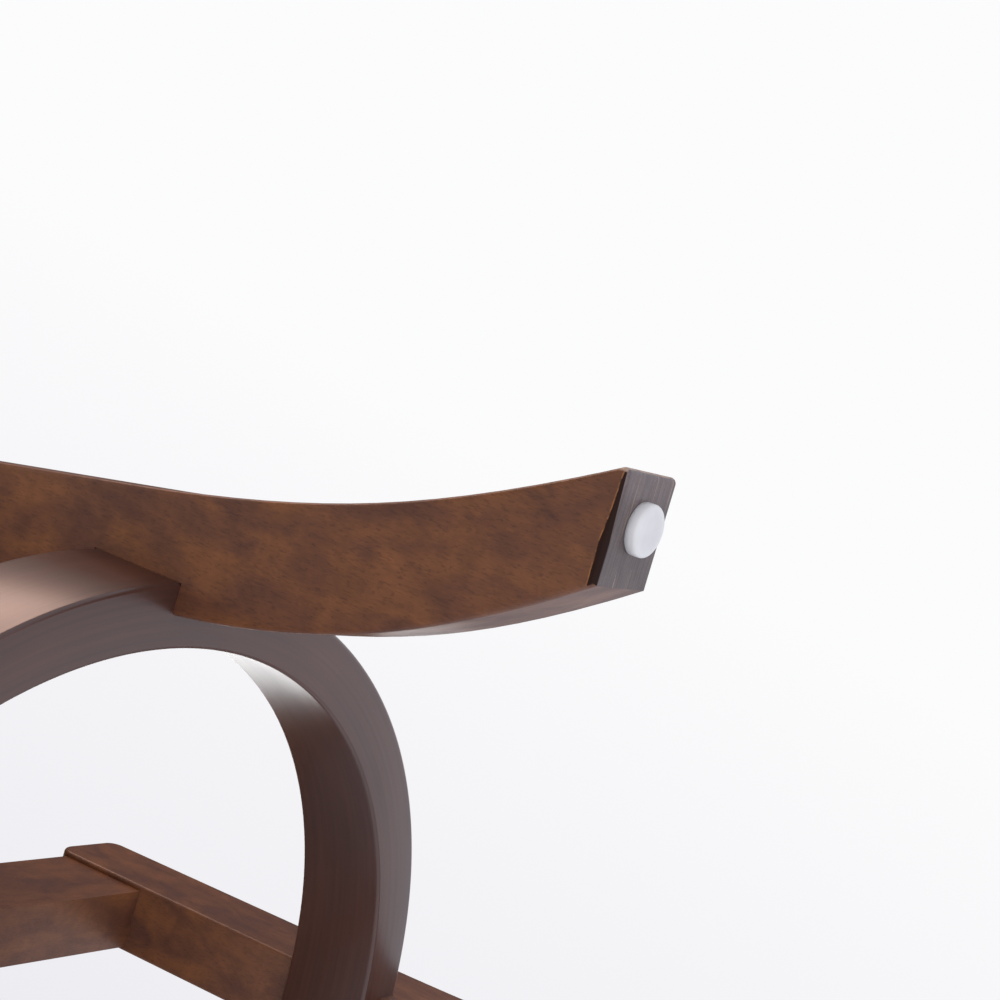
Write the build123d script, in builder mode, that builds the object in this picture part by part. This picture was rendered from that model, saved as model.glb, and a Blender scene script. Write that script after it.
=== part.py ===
from build123d import *
import os
from math import cos, radians, sin, sqrt, tan

# A swivel rocking chair. Four sabre legs carry a round bentwood ring stretcher and two crossed
# rails. A ball-race swivel turns on the rails, and a seat with bent arms and a hoop back rocks
# on the swivel. Millimetres, +Z up, facing -Y. Pieces are modelled about the swivel axis.

# Ring stretcher
ring_outer_radius = 185
ring_depth = 22.4
ring_height = 40
ring_floor_gap = 146.5
edge_round = 1.6
bent_edge_round = 3.2

# Legs: a straight raked upper part above the ring, a sabre curve below it
leg_angles = {"front_right": -45, "rear_right": 45, "rear_left": 135, "front_left": 225}
leg_thickness = 30.5
leg_height = 318
leg_lean = 8.8
leg_shoulder_rise = 33.7
leg_shoulder_reach = 23.1
leg_calf_height = 85.6
leg_calf_reach = 43.7
foot_outer_reach = 78
foot_outer_flare = 27
foot_inner_reach = 43.3
foot_inner_flare = 33
leg_shin_height = 59.4
leg_shin_reach = 12.6
leg_width_at_ring = 39.6
leg_top_width = 36
leg_top_round = 7
foot_heel_round = 10
foot_tip_round = 1.8

# Nail-on floor glides
glide_diameter = 15.7
glide_height = 4.2
glide_rim_round = 1.3
glide_reach = 61
nail_diameter = 2.4
nail_length = 16

# Crossed top rails, half-lapped where they meet
rail_height = 42
rail_thickness = 26
rail_drop = 6

# Screws and bolts
screw_diameter = 5
screw_head_diameter = 9
screw_head_height = 3
bolt_diameter = 6
bolt_head_diameter = 12
bolt_head_height = 4
head_clearance = 0.3
head_recess = 1
head_crown = 0.4
socket_share = 0.4
socket_depth_share = 0.6
ring_screw_grip = 18
rail_bolt_grip = 50
plate_screw_length = 25
overrun = 1
cutter_run = 30

# Swivel: a steel plate with a raised ball race, caged balls and a headed pin
base_plate_corner = 18
base_plate_thickness = 3
plate_screw_margin = 18
plate_screw_gap = 12.1
race_radius = 58
race_width = 12
race_height = 4
race_gap = 3
ball_diameter = 6
ball_count = 16
cage_thickness = 2
cage_width = 9
swivel_pin_diameter = 16
swivel_pin_head_diameter = 26
swivel_pin_head_height = 3
swivel_pin_chamfer = 0.8
running_clearance = 0.05
free_clearance = 0.3

# Rocker: a steel bracket on the swivel, a cross shaft, a torsion rubber and two buffers
steel = 4
bracket_edge = 2
bracket_half_length = 92
bracket_corner = 14
bracket_ear_foot = 42
bracket_ear_radius = 20
pivot_rise = 42
shaft_diameter = 12
shaft_chamfer = 1
shaft_overhang = 3
rubber_diameter = 34
rubber_end_gap = 6
buffer_offset = 72
buffer_top_radius = 11
buffer_foot_radius = 17
buffer_round = 3
forward_tilt = 8
backward_tilt = 15

# Seat cradle over the rocker
cradle_half_length = 95
cradle_edge = 5
cradle_rise = 32
cradle_ear_radius = 22
tube_wall = 3
web_thickness = 6
bush_wall = 3
bush_flange = 4
clip_thickness = 2
clip_wall = 4
cradle_bolt_x = 50
cradle_bolt_y = 80
cradle_bolt_bite = 8

# Seat
bearer_width = 36
bearer_height = 28
bearer_half_length = 150
bearer_sweep = 16.8
board_thickness = 15
rim_outer_radius = 212
rim_depth = 20
rim_height = 36
rim_board_step = 5
cushion_gap = 2
cushion_height = 52
cushion_round = 20

# Back hoop, its rail and slats
back_lean = 14
hoop_stand_off = 8.7
hoop_depth = 22
hoop_thickness = 34
hoop_flare = 7.7
hoop_bow_radius = 164
hoop_bow_rise = 300
hoop_bolt_recess = 3
back_rail_rise = 66
back_rail_height = 36
back_rail_thickness = 20
slat_count = 5
slat_pitch = 46
slat_width = 22
slat_thickness = 10

# Arms
arm_stand_off = 8.8
arm_front_y = -85
arm_width = 28
arm_depth = 20
arm_rise = 218
arm_bend_radius = 75
arm_tail = 24
arm_let_in = 5
arm_bolt_grip = 36
arm_tail_bolt_grip = 30
hoop_bolt_grip = 44
side_bolt_rise = 20

# Levels that the sizes above lead to
ring_inner_radius = ring_outer_radius - ring_depth
shoulder = (ring_outer_radius + leg_shoulder_reach, ring_floor_gap + leg_shoulder_rise)
rail_top = leg_height - rail_drop
rail_bottom = rail_top - rail_height
rail_middle = rail_top - rail_height / 2
base_plate_top = rail_top + base_plate_thickness
race_top = base_plate_top + race_height
ball_level = race_top + race_gap / 2
bracket_bottom = race_top + race_gap
bracket_top = bracket_bottom + steel
race_outer_radius = race_radius + race_width / 2
plate_screw_reach = race_outer_radius + screw_head_diameter / 2 + plate_screw_gap
plate_screw_offset = plate_screw_reach / sqrt(2)
base_plate_side = 2 * (plate_screw_offset + plate_screw_margin)
bracket_half_width = race_outer_radius + bracket_edge
rubber_half_length = bracket_half_width - steel - rubber_end_gap
pivot_height = bracket_top + pivot_rise
shaft_radius = shaft_diameter / 2
bush_radius = shaft_radius + bush_wall
cradle_ear_inside = bracket_half_width + bush_flange
cradle_ear_outside = cradle_ear_inside + steel
clip_inside = cradle_ear_outside + 2 * free_clearance
shaft_half_length = clip_inside + clip_thickness + shaft_overhang
tube_bore_radius = rubber_diameter / 2 + free_clearance
tube_radius = tube_bore_radius + tube_wall
cradle_bottom = pivot_height + cradle_rise
bearer_bottom = cradle_bottom + steel
board_bottom = bearer_bottom + bearer_height
board_top = board_bottom + board_thickness
rim_bottom = board_bottom + rim_board_step
rim_inner_radius = rim_outer_radius - rim_depth
side_bolt_level = rim_bottom + side_bolt_rise

# The hoop's centreline, and where the hoop and the arms stand against the rim
flare_sin = sin(radians(hoop_flare))
flare_cos = cos(radians(hoop_flare))
bow_end = (hoop_bow_radius * flare_cos, hoop_bow_rise - hoop_bow_radius * flare_sin)


def hoop_side(rise):
    """Half width of the hoop's centreline along its straight side, at a rise up the back."""
    return bow_end[0] - (bow_end[1] - rise) * flare_sin / flare_cos


hoop_seat_offset = sqrt(rim_outer_radius**2 - hoop_side(0) ** 2) + hoop_stand_off
arm_front_x = sqrt(rim_outer_radius**2 - arm_front_y**2) + arm_stand_off

# The chair's frame: its origin is on the floor, midway between the seat rim's front and the
# hoop's top, so everything moves forward from the swivel axis by the same amount
hoop_top = hoop_bow_rise + hoop_bow_radius + hoop_depth / 2
hoop_back = hoop_seat_offset + hoop_top * sin(radians(back_lean))
hoop_back += (hoop_thickness / 2 - edge_round) * cos(radians(back_lean))
to_chair_frame = Location((0, (rim_outer_radius - hoop_back) / 2, 0))

os.makedirs("parts", exist_ok=True)


def write(piece, name):
    """Labels a finished piece, sets it in the chair's frame and writes it as its own STEP."""
    piece.part.label = name
    export_step(piece.part.moved(to_chair_frame), f"parts/{name}.step")


def outward(angle):
    return Vector(cos(radians(angle)), sin(radians(angle)), 0)


def spoke(angle):
    """The upright plane through the swivel axis and a leg: x outward, y up."""
    return Plane(origin=(0, 0, 0), x_dir=outward(angle), z_dir=outward(angle - 90))


def across(angle, reach, level, facing=1):
    """A plane square to a leg's spoke, at a reach and level, facing outward or inward."""
    spot = outward(angle) * reach + Vector(0, 0, level)
    return Plane(origin=spot, x_dir=(0, 0, 1), z_dir=outward(angle) * facing)


def leg_outer(level):
    """Reach of a leg's outer edge along its straight upper part."""
    return shoulder[0] - tan(radians(leg_lean)) * (level - shoulder[1])


inner_shoulder = (leg_outer(ring_floor_gap) - leg_width_at_ring, ring_floor_gap)
inner_top = (leg_outer(leg_height) - leg_top_width, leg_height)


def leg_inner(level):
    """Reach of a leg's inner edge along its straight upper part."""
    share = (level - inner_shoulder[1]) / (inner_top[1] - inner_shoulder[1])
    return inner_shoulder[0] + share * (inner_top[0] - inner_shoulder[0])


rail_bolt_seat = leg_outer(rail_middle) - bolt_head_height - head_recess
ring_screw_seat = ring_inner_radius + screw_head_height + head_recess
ring_middle = ring_floor_gap + ring_height / 2


def bored(plane, diameter, depth):
    """A plain cylinder to cut a hole with, from a plane along its normal."""
    with BuildPart() as plug:
        with BuildSketch(plane):
            Circle(diameter / 2)
        extrude(amount=depth)
    return plug.part


def fastener(plane, diameter, length, head_diameter, head_height):
    """A domed socket-head screw: its shank runs along the plane's normal, its head lies behind."""
    with BuildPart() as screw:
        with BuildSketch(plane):
            Circle(diameter / 2)
        extrude(amount=length)
        with BuildSketch(plane):
            Circle(head_diameter / 2)
        extrude(amount=-head_height)
        crown = screw.faces().sort_by(Axis(plane.origin, plane.z_dir))[0]
        fillet(crown.edges(), radius=head_height * head_crown)
        with BuildSketch(plane.offset(-head_height)):
            RegularPolygon(diameter * socket_share, 6)
        extrude(amount=head_height * socket_depth_share, mode=Mode.SUBTRACT)
    return screw


# --- Standing base -------------------------------------------------------------------------

def sole(angle):
    """Where the glide meets the foot, facing up."""
    spot = outward(angle) * (ring_outer_radius + glide_reach) + Vector(0, 0, glide_height)
    return Plane(origin=spot, z_dir=(0, 0, 1))


# The left legs are modelled and the right ones mirror them
for corner in ("rear", "front"):
    angle = leg_angles[f"{corner}_left"]
    side = spoke(angle)
    lean = tan(radians(leg_lean))
    with BuildPart() as leg:
        with BuildSketch(side) as outline:
            with BuildLine():
                foot_outer = (ring_outer_radius + foot_outer_reach, glide_height)
                foot_inner = (ring_outer_radius + foot_inner_reach, glide_height)
                sabre = Spline(
                    shoulder,
                    (ring_outer_radius + leg_calf_reach, leg_calf_height),
                    foot_outer,
                    tangents=((lean, -1), (tan(radians(foot_outer_flare)), -1)),
                )
                Line(foot_outer, foot_inner)
                inner_run = Vector(*inner_top) - Vector(*inner_shoulder)
                belly = Spline(
                    foot_inner,
                    (ring_outer_radius + leg_shin_reach, leg_shin_height),
                    inner_shoulder,
                    tangents=((-tan(radians(foot_inner_flare)), 1), (inner_run.X, inner_run.Y)),
                )
                Line(inner_shoulder, inner_top)
                Line(inner_top, (leg_outer(leg_height), leg_height))
                Line((leg_outer(leg_height), leg_height), shoulder)
            make_face()
            fillet(outline.vertices().group_by(Axis.Y)[-1], radius=leg_top_round)
            foot_corners = outline.vertices().group_by(Axis.Y)[0].sort_by(Axis.X)
            fillet(foot_corners[-1], radius=foot_tip_round)
            fillet(foot_corners[0], radius=foot_heel_round)
        extrude(amount=leg_thickness / 2, both=True)
        flanks = leg.faces().sort_by(Axis((0, 0, 0), side.z_dir))
        fillet(flanks[0].edges() + flanks[-1].edges(), radius=edge_round)
        # housing for the ring, screw and bolt holes, nail hole
        ring_seat = Plane(origin=(0, 0, ring_floor_gap), x_dir=-outward(angle), z_dir=(0, 0, 1))
        with BuildSketch(ring_seat):
            Circle(ring_outer_radius)
        extrude(amount=ring_height, mode=Mode.SUBTRACT)
        add(
            bored(
                across(angle, ring_outer_radius - overrun, ring_middle),
                screw_diameter,
                ring_screw_grip + overrun,
            ),
            mode=Mode.SUBTRACT,
        )
        add(
            bored(
                across(angle, rail_bolt_seat, rail_middle),
                bolt_head_diameter + 2 * head_clearance,
                cutter_run,
            ),
            mode=Mode.SUBTRACT,
        )
        add(
            bored(
                across(angle, rail_bolt_seat + overrun, rail_middle, -1),
                bolt_diameter,
                leg_top_width + cutter_run,
            ),
            mode=Mode.SUBTRACT,
        )
        add(bored(sole(angle), nail_diameter, nail_length), mode=Mode.SUBTRACT)
    write(leg, f"leg_{corner}_left")
    with BuildPart() as right_leg:
        mirror(leg.part, about=Plane.YZ)
    write(right_leg, f"leg_{corner}_right")

for corner, angle in leg_angles.items():
    with BuildPart() as glide:
        with BuildSketch(sole(angle)):
            Circle(glide_diameter / 2)
        extrude(amount=-glide_height)
        fillet(glide.edges().group_by(Axis.Z)[0], radius=glide_rim_round)
        with BuildSketch(sole(angle)):
            Circle(nail_diameter / 2)
        extrude(amount=nail_length)
    write(glide, f"glide_{corner}")

    seat_plane = across(angle, ring_screw_seat, ring_middle)
    shank = ring_outer_radius - ring_screw_seat + ring_screw_grip
    ring_screw = fastener(seat_plane, screw_diameter, shank, screw_head_diameter, screw_head_height)
    write(ring_screw, f"ring_screw_{corner}")

    bolt_plane = across(angle, rail_bolt_seat, rail_middle, -1)
    shank = rail_bolt_seat - leg_inner(rail_middle) + rail_bolt_grip
    rail_bolt = fastener(bolt_plane, bolt_diameter, shank, bolt_head_diameter, bolt_head_height)
    write(rail_bolt, f"rail_bolt_{corner}")

with BuildPart() as ring:
    with BuildSketch(Plane.XY.offset(ring_floor_gap)):
        Circle(ring_outer_radius)
        Circle(ring_inner_radius, mode=Mode.SUBTRACT)
    extrude(amount=ring_height)
    fillet(ring.edges(), radius=edge_round)
    for angle in leg_angles.values():
        add(
            bored(
                across(angle, ring_screw_seat, ring_middle, -1),
                screw_head_diameter + 2 * head_clearance,
                ring_depth,
            ),
            mode=Mode.SUBTRACT,
        )
        add(
            bored(
                across(angle, ring_screw_seat - overrun, ring_middle),
                screw_diameter,
                ring_depth + 2 * overrun,
            ),
            mode=Mode.SUBTRACT,
        )
write(ring, "ring_stretcher")

for name, angle, lap_sign in (("lower", -45, 1), ("upper", 45, -1)):
    with BuildPart() as rail:
        with BuildSketch(spoke(angle)):
            with BuildLine():
                Polyline(
                    (leg_inner(rail_bottom), rail_bottom),
                    (leg_inner(rail_top), rail_top),
                    (-leg_inner(rail_top), rail_top),
                    (-leg_inner(rail_bottom), rail_bottom),
                    close=True,
                )
            make_face()
            with Locations((0, rail_middle + lap_sign * rail_height / 4)):
                Rectangle(rail_thickness, rail_height / 2, mode=Mode.SUBTRACT)
        extrude(amount=rail_thickness / 2, both=True)
        for end in (angle, angle + 180):
            add(
                bored(
                    across(end, leg_inner(rail_middle) - rail_bolt_grip, rail_middle),
                    bolt_diameter,
                    rail_bolt_grip + cutter_run,
                ),
                mode=Mode.SUBTRACT,
            )
            plate_screw_spot = outward(end) * plate_screw_reach
            add(
                bored(
                    Plane(origin=plate_screw_spot + Vector(0, 0, rail_top), z_dir=(0, 0, -1)),
                    screw_diameter,
                    plate_screw_length - base_plate_thickness,
                ),
                mode=Mode.SUBTRACT,
            )
    write(rail, f"top_rail_{name}")

# --- Swivel --------------------------------------------------------------------------------

with BuildPart() as base_plate:
    with BuildSketch(Plane.XY.offset(rail_top)):
        RectangleRounded(base_plate_side, base_plate_side, base_plate_corner)
        Circle(swivel_pin_diameter / 2, mode=Mode.SUBTRACT)
        with GridLocations(2 * plate_screw_offset, 2 * plate_screw_offset, 2, 2):
            Circle(screw_diameter / 2, mode=Mode.SUBTRACT)
    extrude(amount=base_plate_thickness)
    with BuildSketch(Plane.XZ):
        with Locations((race_radius, base_plate_top + race_height / 2)):
            Rectangle(race_width, race_height)
        with Locations((race_radius, ball_level)):
            Circle(ball_diameter / 2, mode=Mode.SUBTRACT)
    revolve(axis=Axis.Z)
write(base_plate, "swivel_base_plate")

for corner, angle in leg_angles.items():
    head_spot = outward(angle) * plate_screw_reach + Vector(0, 0, base_plate_top)
    plate_screw = fastener(
        Plane(origin=head_spot, z_dir=(0, 0, -1)),
        screw_diameter,
        plate_screw_length,
        screw_head_diameter,
        screw_head_height,
    )
    write(plate_screw, f"plate_screw_{corner}")

with BuildPart() as ball_ring:
    with BuildSketch(Plane.XY.offset(ball_level)):
        Circle(race_radius + cage_width / 2)
        Circle(race_radius - cage_width / 2, mode=Mode.SUBTRACT)
    extrude(amount=cage_thickness / 2, both=True)
    with Locations(Plane.XY.offset(ball_level)):
        with PolarLocations(race_radius, ball_count):
            Sphere(ball_diameter / 2)
write(ball_ring, "ball_ring")

with BuildPart() as swivel_pin:
    with BuildSketch(Plane.XY.offset(rail_top)):
        Circle(swivel_pin_diameter / 2)
    extrude(amount=bracket_top + free_clearance - rail_top)
    with BuildSketch(Plane.XY.offset(bracket_top + free_clearance)):
        Circle(swivel_pin_head_diameter / 2)
    extrude(amount=swivel_pin_head_height)
    chamfer(swivel_pin.edges().group_by(Axis.Z)[-1], length=swivel_pin_chamfer)
write(swivel_pin, "swivel_pin")

# --- Rocker on the swivel ------------------------------------------------------------------

with BuildPart() as bracket:
    with BuildSketch(Plane.XY.offset(bracket_bottom)):
        RectangleRounded(2 * bracket_half_width, 2 * bracket_half_length, bracket_corner)
    extrude(amount=steel)
    for hand in (-1, 1):
        with BuildSketch(Plane.YZ.offset(hand * (bracket_half_width - steel / 2))):
            with Locations((0, pivot_height)):
                Circle(bracket_ear_radius)
            with Locations((0, bracket_bottom + steel / 2)):
                Rectangle(2 * bracket_ear_foot, steel)
            make_hull()
        extrude(amount=steel / 2, both=True)
    with BuildSketch(Plane.YZ):
        with Locations((0, pivot_height)):
            Circle(shaft_radius)
    extrude(amount=2 * bracket_half_width, both=True, mode=Mode.SUBTRACT)
    with BuildSketch(Plane.XY.offset(bracket_bottom)):
        Circle(swivel_pin_diameter / 2 + running_clearance)
    extrude(amount=steel, mode=Mode.SUBTRACT)
    with BuildSketch(Plane.XZ):
        with Locations((race_radius, ball_level)):
            Circle(ball_diameter / 2 + free_clearance)
    revolve(axis=Axis.Z, mode=Mode.SUBTRACT)
write(bracket, "rocker_bracket")

with BuildPart() as shaft:
    with BuildSketch(Plane.YZ):
        with Locations((0, pivot_height)):
            Circle(shaft_radius)
    extrude(amount=shaft_half_length, both=True)
    chamfer(shaft.faces().filter_by(GeomType.PLANE).edges(), length=shaft_chamfer)
write(shaft, "pivot_shaft")

with BuildPart() as rubber:
    with BuildSketch(Plane.YZ):
        with Locations((0, pivot_height)):
            Circle(rubber_diameter / 2)
            Circle(shaft_radius, mode=Mode.SUBTRACT)
    extrude(amount=rubber_half_length, both=True)
write(rubber, "torsion_rubber")


def buffer_height(tilt):
    """Height of a buffer that the tilted cradle just reaches, over the bracket."""
    reach = buffer_offset + buffer_top_radius
    underside = pivot_height + cradle_rise / cos(radians(tilt)) - reach * tan(radians(tilt))
    return underside - free_clearance - bracket_top


for end, offset_y, tilt in (("front", -buffer_offset, forward_tilt), ("rear", buffer_offset, backward_tilt)):
    height = buffer_height(tilt)
    with BuildPart() as buffer:
        with BuildSketch(Plane.XY.offset(bracket_top)):
            with Locations((0, offset_y)):
                Circle(buffer_foot_radius)
        with BuildSketch(Plane.XY.offset(bracket_top + height)):
            with Locations((0, offset_y)):
                Circle(buffer_top_radius)
        loft()
        fillet(buffer.edges().group_by(Axis.Z)[-1], radius=buffer_round)
    write(buffer, f"tilt_buffer_{end}")

# --- Seat cradle ---------------------------------------------------------------------------

with BuildPart() as cradle:
    with BuildSketch(Plane.XY.offset(cradle_bottom)):
        RectangleRounded(2 * (cradle_ear_outside + cradle_edge), 2 * cradle_half_length, bracket_corner)
        with GridLocations(2 * cradle_bolt_x, 2 * cradle_bolt_y, 2, 2):
            Circle(bolt_diameter / 2, mode=Mode.SUBTRACT)
    extrude(amount=steel)
    for hand in (-1, 1):
        with BuildSketch(Plane.YZ.offset(hand * (cradle_ear_inside + steel / 2))):
            with Locations((0, pivot_height)):
                Circle(cradle_ear_radius)
            with Locations((0, cradle_bottom + steel / 2)):
                Rectangle(2 * bracket_ear_foot, steel)
            make_hull()
            with Locations((0, pivot_height)):
                Circle(bush_radius, mode=Mode.SUBTRACT)
        extrude(amount=steel / 2, both=True)
    with BuildSketch(Plane.YZ):
        with Locations((0, pivot_height)):
            Circle(tube_radius)
        with Locations((0, (pivot_height + cradle_bottom) / 2)):
            Rectangle(web_thickness, cradle_rise)
        with Locations((0, pivot_height)):
            Circle(tube_bore_radius, mode=Mode.SUBTRACT)
    extrude(amount=rubber_half_length, both=True)
write(cradle, "seat_cradle")

for hand, sign in (("left", -1), ("right", 1)):
    with BuildPart() as bush:
        inner_end = bracket_half_width + free_clearance
        with BuildSketch(Plane.YZ.offset(sign * inner_end)):
            with Locations((0, pivot_height)):
                Circle(bush_radius + bush_wall)
        extrude(amount=sign * (cradle_ear_inside - inner_end))
        with BuildSketch(Plane.YZ.offset(sign * cradle_ear_inside)):
            with Locations((0, pivot_height)):
                Circle(bush_radius)
        extrude(amount=sign * (steel + free_clearance))
        with BuildSketch(Plane.YZ):
            with Locations((0, pivot_height)):
                Circle(shaft_radius + running_clearance)
        extrude(amount=shaft_half_length, both=True, mode=Mode.SUBTRACT)
    write(bush, f"pivot_bush_{hand}")

    with BuildPart() as clip:
        with BuildSketch(Plane.YZ.offset(sign * clip_inside)):
            with Locations((0, pivot_height)):
                Circle(shaft_radius + clip_wall)
                Circle(shaft_radius, mode=Mode.SUBTRACT)
        extrude(amount=sign * clip_thickness)
    write(clip, f"shaft_clip_{hand}")

    with BuildPart() as bearer:
        with BuildSketch(Plane.XY.offset(bearer_bottom)):
            with Locations((sign * cradle_bolt_x, 0)):
                Rectangle(bearer_width, 2 * bearer_half_length)
                with GridLocations(0, 2 * cradle_bolt_y, 1, 2):
                    Circle(bolt_diameter / 2, mode=Mode.SUBTRACT)
        extrude(amount=bearer_height)
        # the ends sweep up towards the seat board
        chamfer(bearer.edges().filter_by(Axis.X).group_by(Axis.Z)[0], length=bearer_sweep)
    write(bearer, f"seat_bearer_{hand}")

    for end, along in (("front", -1), ("rear", 1)):
        seat_bolt = fastener(
            Plane(origin=(sign * cradle_bolt_x, along * cradle_bolt_y, cradle_bottom), z_dir=(0, 0, 1)),
            bolt_diameter,
            board_bottom + cradle_bolt_bite - cradle_bottom,
            bolt_head_diameter,
            bolt_head_height,
        )
        write(seat_bolt, f"cradle_bolt_{end}_{hand}")

# --- Seat ----------------------------------------------------------------------------------

with BuildPart() as board:
    with BuildSketch(Plane.XY.offset(board_bottom)):
        Circle(rim_inner_radius)
    extrude(amount=board_thickness)
    with BuildSketch(Plane.XY.offset(board_bottom)):
        with GridLocations(2 * cradle_bolt_x, 2 * cradle_bolt_y, 2, 2):
            Circle(bolt_diameter / 2)
    extrude(amount=cradle_bolt_bite, mode=Mode.SUBTRACT)
write(board, "seat_board")

with BuildPart() as cushion:
    with BuildSketch(Plane.XY.offset(board_top)):
        Circle(rim_inner_radius - cushion_gap)
    extrude(amount=cushion_height)
    fillet(cushion.edges().group_by(Axis.Z)[-1], radius=cushion_round)
write(cushion, "seat_cushion")

# --- Back ----------------------------------------------------------------------------------

lean_sin = sin(radians(back_lean))
lean_cos = cos(radians(back_lean))
back_plane = Plane(
    origin=(0, hoop_seat_offset, rim_bottom), x_dir=(1, 0, 0), z_dir=(0, -lean_cos, lean_sin)
)


def back_rise(level):
    """Rise along the leaning back plane at a level over the floor."""
    return (level - rim_bottom) / lean_cos


def back_y(level):
    """Where the back plane stands at a level."""
    return hoop_seat_offset + (level - rim_bottom) * lean_sin / lean_cos


hoop_tail = back_rise(rim_bottom - hoop_thickness)
hoop_bolt_x = hoop_side(back_rise(side_bolt_level))
hoop_bolt_seat = back_y(side_bolt_level) + hoop_thickness / 2 / lean_cos
hoop_bolt_seat -= bolt_head_height + hoop_bolt_recess
hoop_bolt_plane = Plane(origin=(hoop_bolt_x, hoop_bolt_seat, side_bolt_level), z_dir=(0, -1, 0))

# Arm plane: upright, from the front upright back to the hoop's side
arm_level = rim_bottom + arm_rise
arm_start = Vector(arm_front_x, arm_front_y, 0)
arm_end = Vector(
    hoop_side(back_rise(arm_level)) + hoop_depth / 2 + arm_width / 2 - arm_let_in,
    back_y(arm_level),
    0,
)
arm_run = (arm_end - arm_start).length
arm_plane = Plane(
    origin=arm_start,
    x_dir=(arm_end - arm_start).normalized(),
    z_dir=(arm_end - arm_start).normalized().cross(Vector(0, 0, 1)),
)
arm_bolt_seat = arm_width / 2 - bolt_head_height


def arm_bolt_plane(along, level):
    """Where an arm bolt's head seats, facing in towards the chair."""
    spot = arm_plane.from_local_coords((along, level, arm_bolt_seat))
    return Plane(origin=spot, z_dir=-arm_plane.z_dir)


front_arm_bolt_plane = arm_bolt_plane(0, side_bolt_level)
rear_arm_bolt_plane = arm_bolt_plane(arm_run, arm_level)

with BuildPart() as hoop:
    with BuildSketch(back_plane):
        with BuildLine():
            tail = (hoop_side(hoop_tail), hoop_tail)
            Line(tail, bow_end)
            ThreePointArc(bow_end, (0, hoop_bow_rise + hoop_bow_radius), (-bow_end[0], bow_end[1]))
            Line((-bow_end[0], bow_end[1]), (-tail[0], tail[1]))
        trace(line_width=hoop_depth)
    extrude(amount=hoop_thickness / 2, both=True)
    long_faces = hoop.faces().sort_by(Axis((0, 0, 0), back_plane.z_dir))
    fillet(long_faces[0].edges() + long_faces[-1].edges(), radius=bent_edge_round)
    # square the feet off level with the rim, house them over it, and bore them
    with BuildSketch(Plane.XY.offset(rim_bottom)):
        Rectangle(4 * rim_outer_radius, 4 * rim_outer_radius)
    extrude(amount=-2 * hoop_thickness, mode=Mode.SUBTRACT)
    with BuildSketch(Plane.XY.offset(rim_bottom)):
        Circle(rim_outer_radius)
    extrude(amount=rim_height, mode=Mode.SUBTRACT)
    for hand in (-1, 1):
        spot = Vector(hand * hoop_bolt_x, hoop_bolt_seat, side_bolt_level)
        add(
            bored(Plane(origin=spot, z_dir=(0, 1, 0)), bolt_head_diameter + 2 * head_clearance, cutter_run),
            mode=Mode.SUBTRACT,
        )
        add(bored(Plane(origin=spot, z_dir=(0, -1, 0)), bolt_diameter, hoop_bolt_grip), mode=Mode.SUBTRACT)
        arm_bore = bored(rear_arm_bolt_plane, bolt_diameter, arm_tail_bolt_grip)
        if hand < 0:
            arm_bore = arm_bore.mirror(Plane.YZ)
        add(arm_bore, mode=Mode.SUBTRACT)
write(hoop, "back_hoop")

with BuildPart() as back_rail:
    low = back_rail_rise
    high = back_rail_rise + back_rail_height
    inset = hoop_depth / 2 / flare_cos
    with BuildSketch(back_plane):
        with BuildLine():
            Polyline(
                (hoop_side(low) - inset, low),
                (hoop_side(high) - inset, high),
                (inset - hoop_side(high), high),
                (inset - hoop_side(low), low),
                close=True,
            )
        make_face()
    extrude(amount=back_rail_thickness / 2, both=True)
    fillet(back_rail.edges().filter_by(Axis.X), radius=edge_round)
write(back_rail, "back_rail")

slat_foot = back_rail_rise + back_rail_height
for number in range(slat_count):
    slat_x = (number - (slat_count - 1) / 2) * slat_pitch
    with BuildPart() as slat:
        with BuildSketch(back_plane):
            with Locations((0, hoop_bow_rise)):
                Circle(hoop_bow_radius - hoop_depth / 2)
            with Locations((slat_x, hoop_bow_rise + hoop_bow_radius)):
                Rectangle(slat_width, 2 * hoop_bow_radius, mode=Mode.INTERSECT)
            with Locations((slat_x, (hoop_bow_rise + slat_foot) / 2)):
                Rectangle(slat_width, hoop_bow_rise - slat_foot)
        extrude(amount=slat_thickness / 2, both=True)
        upright = Axis((0, 0, 0), back_plane.y_dir)
        fillet(slat.edges().filter_by(upright), radius=edge_round)
    write(slat, f"back_slat_{number + 1}")

hoop_bolt = fastener(
    hoop_bolt_plane, bolt_diameter, hoop_bolt_grip, bolt_head_diameter, bolt_head_height
)
write(hoop_bolt, "hoop_bolt_right")

with BuildPart() as hoop_bolt_left:
    mirror(hoop_bolt.part, about=Plane.YZ)
write(hoop_bolt_left, "hoop_bolt_left")

# --- Arms ----------------------------------------------------------------------------------

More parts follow.
